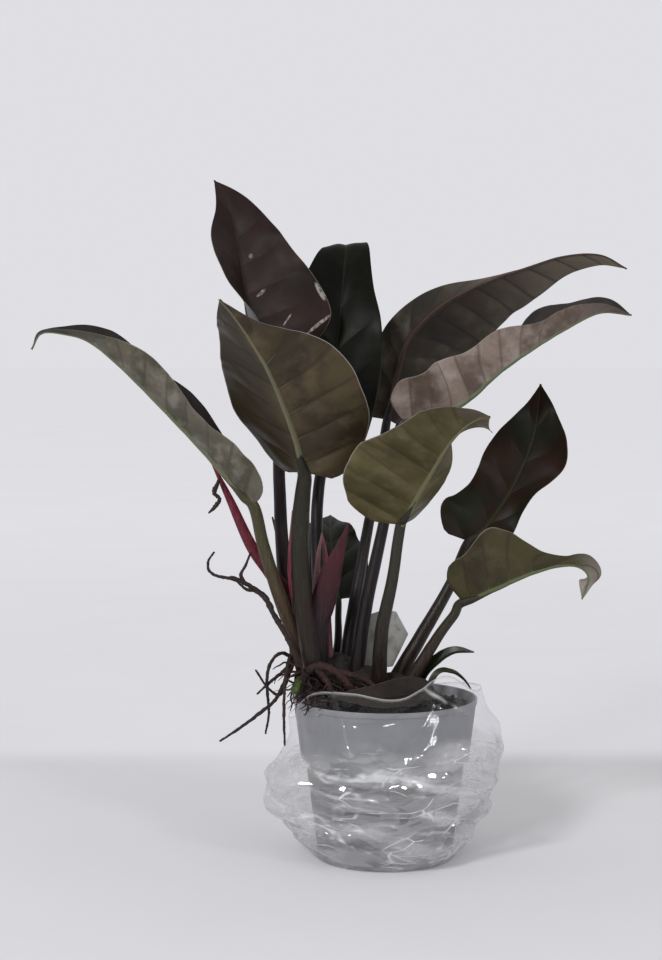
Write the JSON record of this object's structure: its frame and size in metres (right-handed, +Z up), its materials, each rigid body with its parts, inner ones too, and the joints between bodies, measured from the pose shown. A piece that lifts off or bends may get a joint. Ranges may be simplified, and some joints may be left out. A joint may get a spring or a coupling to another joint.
{
  "type": "potted foliage plant",
  "caption": "Potted philodendron with long dark maroon and olive blades on tall stalks, red sheaths and hanging roots, in a ribbed grey pot inside a loose clear wrap.",
  "frame": {"origin": "on the floor under the middle of the pot", "axes": "+Z up, -Y towards the front, +X to the right as seen from the front"},
  "size_m": [0.7246, 0.4712, 0.8276],
  "materials": {
    "pot_plastic": "satin grey plastic with fine scuffs",
    "potting_soil": "crumbly dark peat with fibres",
    "clear_film": "thin clear film, creased and shiny",
    "crown_skin": "rough mauve brown stem bases with old leaf scars",
    "green_stalk": "smooth waxy olive green with fine lengthwise streaks",
    "dark_stalk": "smooth waxy purple black with fine lengthwise streaks",
    "blade_upper": "glossy dark maroon green with sunken veins",
    "blade_under": "waxy brown olive with a raised pale midrib",
    "crimson_sheath": "smooth crimson with fine lengthwise lines",
    "pink_sheath": "smooth pale pink red",
    "papery_sheath": "dry grey mauve skin",
    "basal_leaf": "dark green waxy skin",
    "root_skin": "rough brown root skin",
    "label_plastic": "blank pale grey card, matt"
  },
  "bodies": {
    "root": {"pot": "pot_plastic", "soil": "potting_soil", "clear_wrap": "clear_film", "crown": "crown_skin", "stalk_far_left": "green_stalk", "blade_far_left": "blade_under", "stalk_tallest": "dark_stalk", "blade_tallest": "blade_upper", "stalk_front_left": "green_stalk", "blade_front_left": "blade_under", "stalk_upright": "dark_stalk", "blade_upright": "blade_upper", "stalk_high_right": "dark_stalk", "blade_high_right": "blade_under", "stalk_mid_right": "dark_stalk", "blade_mid_right": "blade_under", "stalk_front_centre": "green_stalk", "blade_front_centre": "blade_under", "stalk_low_right_back": "green_stalk", "blade_low_right_back": "blade_upper", "stalk_low_right_front": "green_stalk", "blade_low_right_front": "blade_under", "stalk_small_back": "dark_stalk", "blade_small_back": "blade_upper", "sheath_crimson_left": "crimson_sheath", "sheath_pink": "pink_sheath", "sheath_crimson_front": "crimson_sheath", "sheath_pale": "pink_sheath", "sheath_rose": "pink_sheath", "sheath_papery": "papery_sheath", "basal_leaf_upper": "basal_leaf", "basal_leaf_lower": "basal_leaf", "old_leaf": "basal_leaf", "stem_stub": "basal_leaf", "hanging_roots": "root_skin", "upper_roots": "root_skin", "surface_roots": "root_skin", "shrivelled_tip": "root_skin", "plant_label": "label_plastic"}
  },
  "joints": []
}
